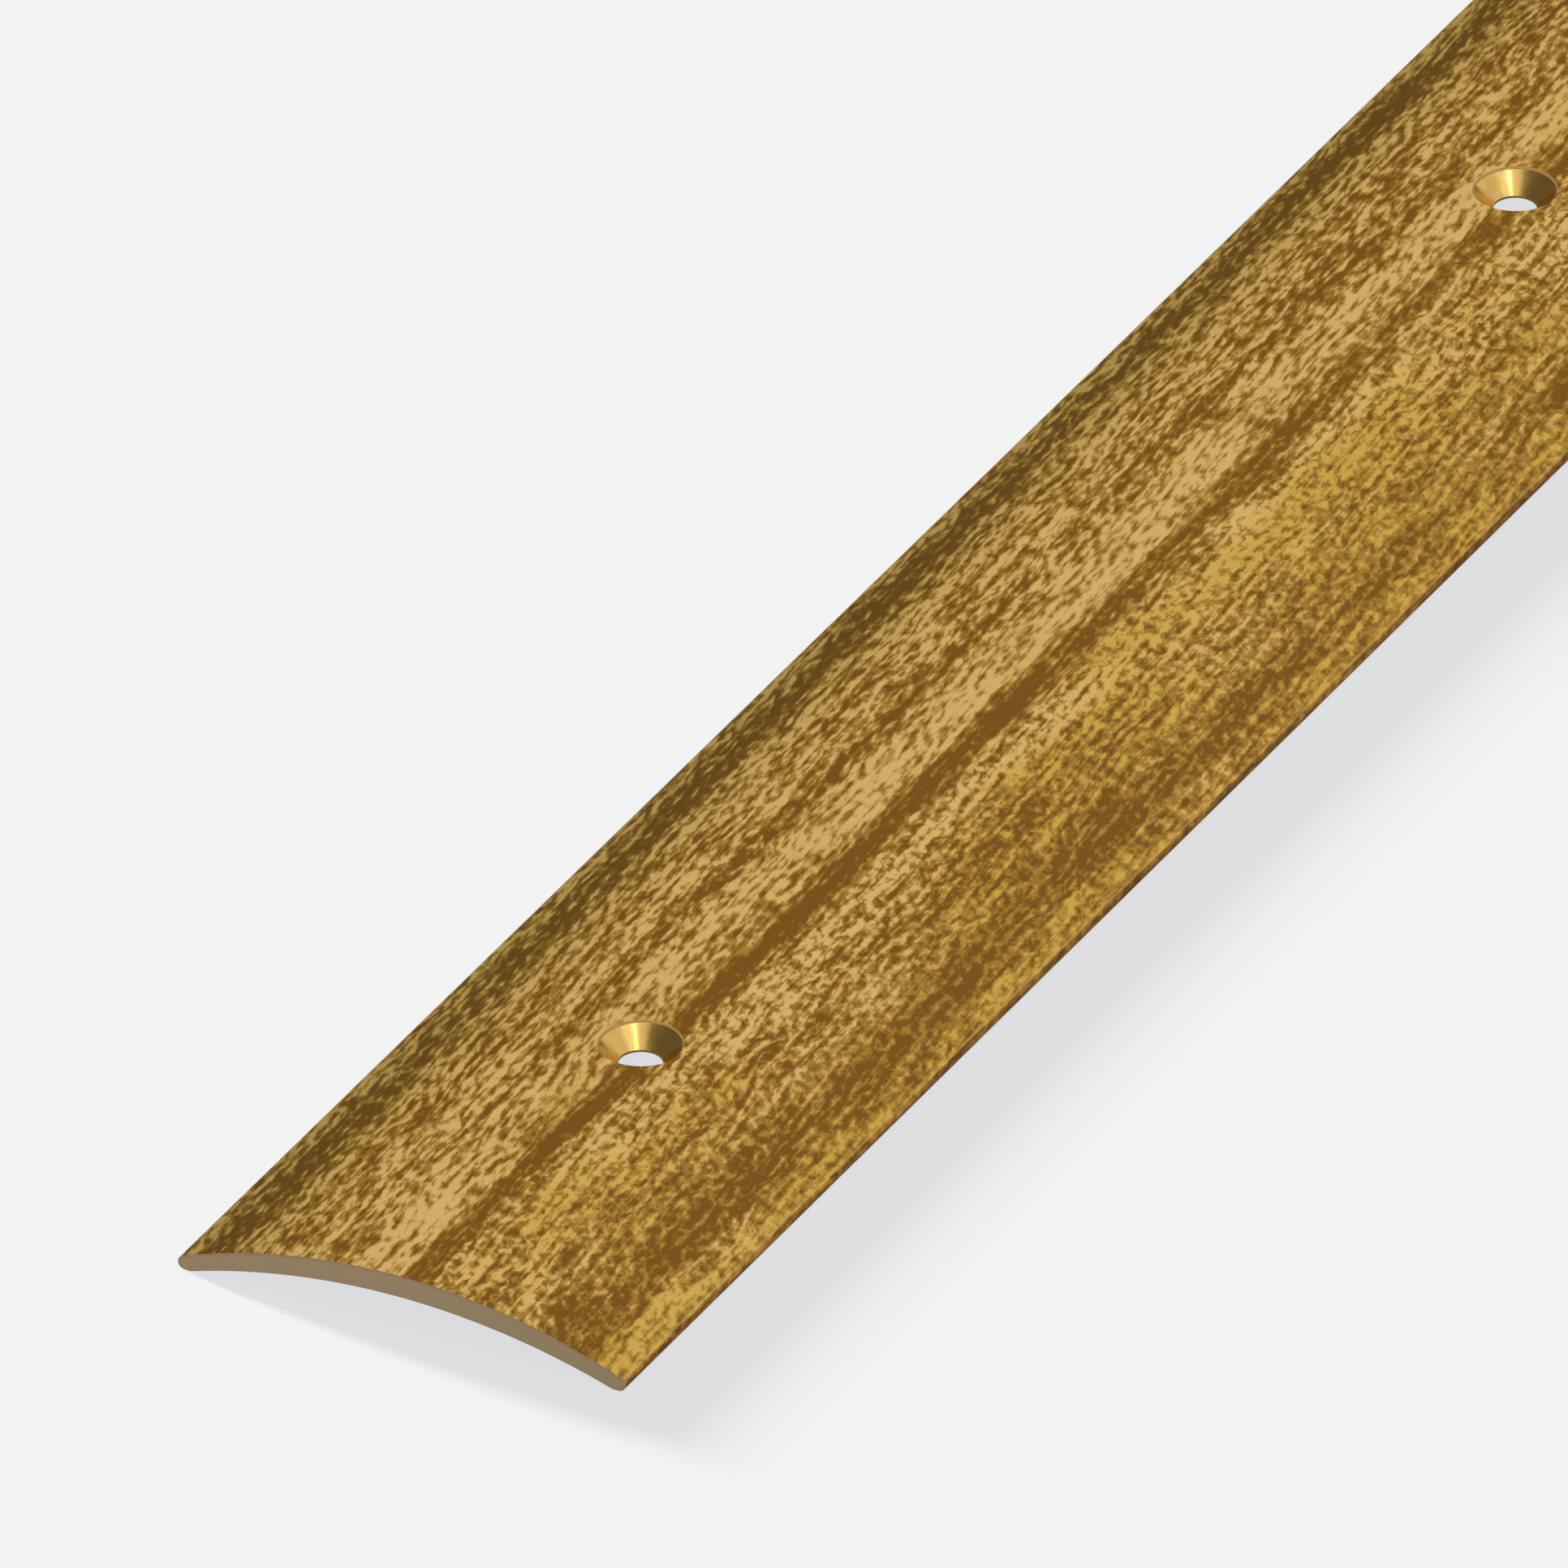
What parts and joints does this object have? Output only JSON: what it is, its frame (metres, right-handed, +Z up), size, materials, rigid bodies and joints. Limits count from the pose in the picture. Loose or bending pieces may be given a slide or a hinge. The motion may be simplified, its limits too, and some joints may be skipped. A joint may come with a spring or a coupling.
{
  "type": "threshold strip",
  "caption": "Domed screw-down floor threshold strip: arched aluminium profile wrapped in a wood-decor foil, with countersunk holes along its crown.",
  "frame": {"origin": "centre of the bounding box on the plane that the two long feet stand on", "axes": "+Y along the strip's length, from the near cut end to the far one; +X across its width; +Z up, out of the crown"},
  "size_m": [0.038, 0.93, 0.0047],
  "materials": {
    "gold_anodised_aluminium": "satin gold anodised on the underside and in the turned countersinks, plain saw-cut metal at both ends",
    "wood_decor_foil": "satin wood-decor print in light tan, golden yellow and dark brown, with short dark pore flecks"
  },
  "bodies": {
    "root": {"aluminium_profile": "gold_anodised_aluminium", "decor_foil": "wood_decor_foil"}
  },
  "joints": []
}
